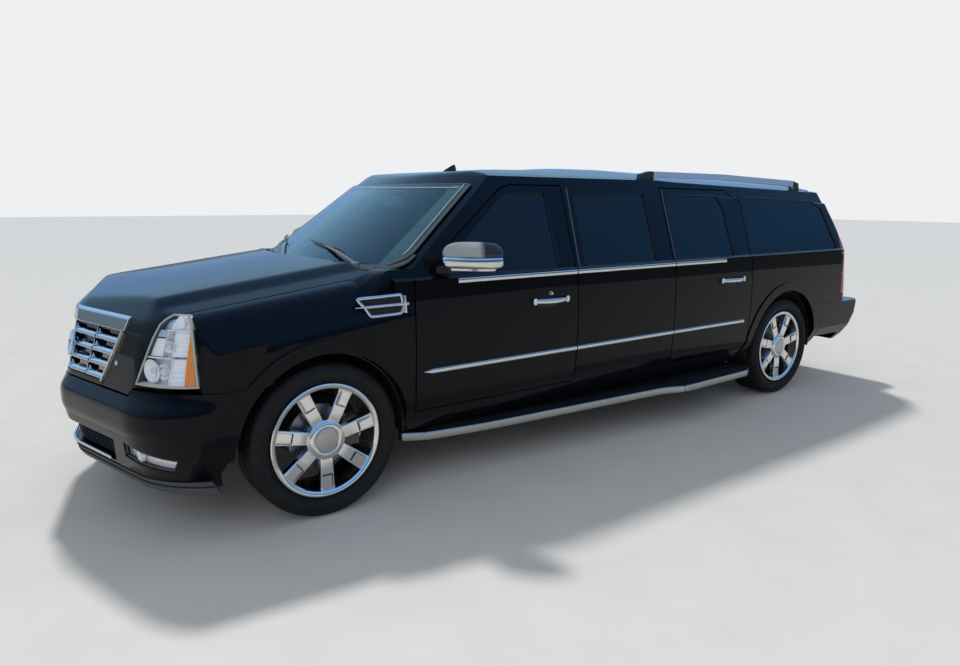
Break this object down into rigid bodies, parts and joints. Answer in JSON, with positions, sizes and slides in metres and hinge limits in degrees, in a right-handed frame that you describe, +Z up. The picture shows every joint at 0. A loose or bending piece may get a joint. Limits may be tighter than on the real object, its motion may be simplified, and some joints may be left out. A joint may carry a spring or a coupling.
{
  "type": "stretch limousine",
  "caption": "Stretch limousine on a long sport-utility body, with hinged doors, hood and liftgate, steered front wheels and a ladder frame.",
  "frame": {"origin": "on the ground under the middle of the overall length and width", "axes": "+X forward, +Y to the vehicle's left, +Z up"},
  "size_m": [6.4798, 2.4726, 1.841],
  "materials": {
    "body_paint": "gloss black",
    "underbody_paint": "satin black",
    "cast_metal": "rough",
    "chrome_trim": "polished",
    "wheel_chrome": "polished",
    "alloy": "satin",
    "tyre_rubber": "matte",
    "clear_glass": "clear, slightly tinted",
    "dark_glass": "privacy tint",
    "lamp_lens": "clear",
    "red_lens": "translucent red",
    "black_plastic": "fine grain",
    "interior_plastic": "soft touch",
    "seat_leather": "grained",
    "exhaust_steel": "dull"
  },
  "bodies": {
    "root": {"body_side_left": "body_paint", "body_side_right": "body_paint", "roof_panel": "body_paint", "fixed_side_glass": "dark_glass", "windshield": "clear_glass", "front_panels": "body_paint", "headlamps": "lamp_lens", "front_fenders": "body_paint", "front_bumper": "body_paint", "fog_lamps": "lamp_lens", "grille": "chrome_trim", "rear_bumper": "body_paint", "tail_lamps": "red_lens", "floor_pan": "underbody_paint", "firewall": "underbody_paint", "cowl_panel": "black_plastic", "frame_rails": "underbody_paint", "crossmembers": "underbody_paint", "tow_hitch": "underbody_paint", "front_suspension": "cast_metal", "rear_axle": "cast_metal", "driveshaft": "cast_metal", "engine": "cast_metal", "fuel_tank": "black_plastic", "exhaust": "exhaust_steel", "radiator_support": "underbody_paint", "running_boards": "alloy", "dashboard": "interior_plastic", "front_seats": "seat_leather", "lounge_seats": "seat_leather", "roof_rails": "alloy"},
    "hood": {"hood": "body_paint", "grille_header": "chrome_trim"},
    "liftgate": {"liftgate": "body_paint", "liftgate_glass": "dark_glass"},
    "front_door_left": {"front_door_left": "body_paint", "front_door_glass_left": "dark_glass", "mirror_left": "chrome_trim"},
    "rear_door_left": {"rear_door_left": "body_paint", "rear_door_glass_left": "dark_glass"},
    "knuckle_left": {"knuckle_left": "cast_metal"},
    "wheel_front_left": {"wheel_front_left": "wheel_chrome", "tyre_front_left": "tyre_rubber"},
    "wheel_rear_left": {"wheel_rear_left": "wheel_chrome", "tyre_rear_left": "tyre_rubber"},
    "front_door_right": {"front_door_right": "body_paint", "front_door_glass_right": "dark_glass", "mirror_right": "chrome_trim"},
    "rear_door_right": {"rear_door_right": "body_paint", "rear_door_glass_right": "dark_glass"},
    "knuckle_right": {"knuckle_right": "cast_metal"},
    "wheel_front_right": {"wheel_front_right": "wheel_chrome", "tyre_front_right": "tyre_rubber"},
    "wheel_rear_right": {"wheel_rear_right": "wheel_chrome", "tyre_rear_right": "tyre_rubber"}
  },
  "joints": [
    {"name": "hood_hinge", "type": "hinge", "parent": "root", "child": "hood", "pos_m": [1.808, 0, 1.225], "axis": [0, -1, 0], "range_deg": [0, 50]},
    {"name": "liftgate_hinge", "type": "hinge", "parent": "root", "child": "liftgate", "pos_m": [-2.556, 0, 1.752], "axis": [0, 1, 0], "range_deg": [0, 85]},
    {"name": "front_door_left_hinge", "type": "hinge", "parent": "root", "child": "front_door_left", "pos_m": [1.684, 1.004, 0.8], "axis": [0, 0, -1], "range_deg": [0, 70]},
    {"name": "rear_door_left_hinge", "type": "hinge", "parent": "root", "child": "rear_door_left", "pos_m": [-0.466, 1.004, 0.8], "axis": [0, 0, -1], "range_deg": [0, 70]},
    {"name": "steer_left", "type": "hinge", "parent": "root", "child": "knuckle_left", "pos_m": [2.19, 0.8, 0.404], "axis": [0, 0, 1], "range_deg": [-35, 35]},
    {"name": "wheel_front_left_spin", "type": "hinge", "parent": "knuckle_left", "child": "wheel_front_left", "pos_m": [2.19, 0.84, 0.404], "axis": [0, 1, 0], "continuous": true},
    {"name": "wheel_rear_left_spin", "type": "hinge", "parent": "root", "child": "wheel_rear_left", "pos_m": [-1.94, 0.84, 0.404], "axis": [0, 1, 0], "continuous": true},
    {"name": "front_door_right_hinge", "type": "hinge", "parent": "root", "child": "front_door_right", "pos_m": [1.684, -1.004, 0.8], "axis": [0, 0, 1], "range_deg": [0, 70]},
    {"name": "rear_door_right_hinge", "type": "hinge", "parent": "root", "child": "rear_door_right", "pos_m": [-0.466, -1.004, 0.8], "axis": [0, 0, 1], "range_deg": [0, 70]},
    {"name": "steer_right", "type": "hinge", "parent": "root", "child": "knuckle_right", "pos_m": [2.19, -0.8, 0.404], "axis": [0, 0, 1], "range_deg": [-35, 35]},
    {"name": "wheel_front_right_spin", "type": "hinge", "parent": "knuckle_right", "child": "wheel_front_right", "pos_m": [2.19, -0.84, 0.404], "axis": [0, 1, 0], "continuous": true},
    {"name": "wheel_rear_right_spin", "type": "hinge", "parent": "root", "child": "wheel_rear_right", "pos_m": [-1.94, -0.84, 0.404], "axis": [0, 1, 0], "continuous": true}
  ],
  "couplings": [
    {"joint": "steer_right", "follows": "steer_left", "ratio": 1}
  ]
}
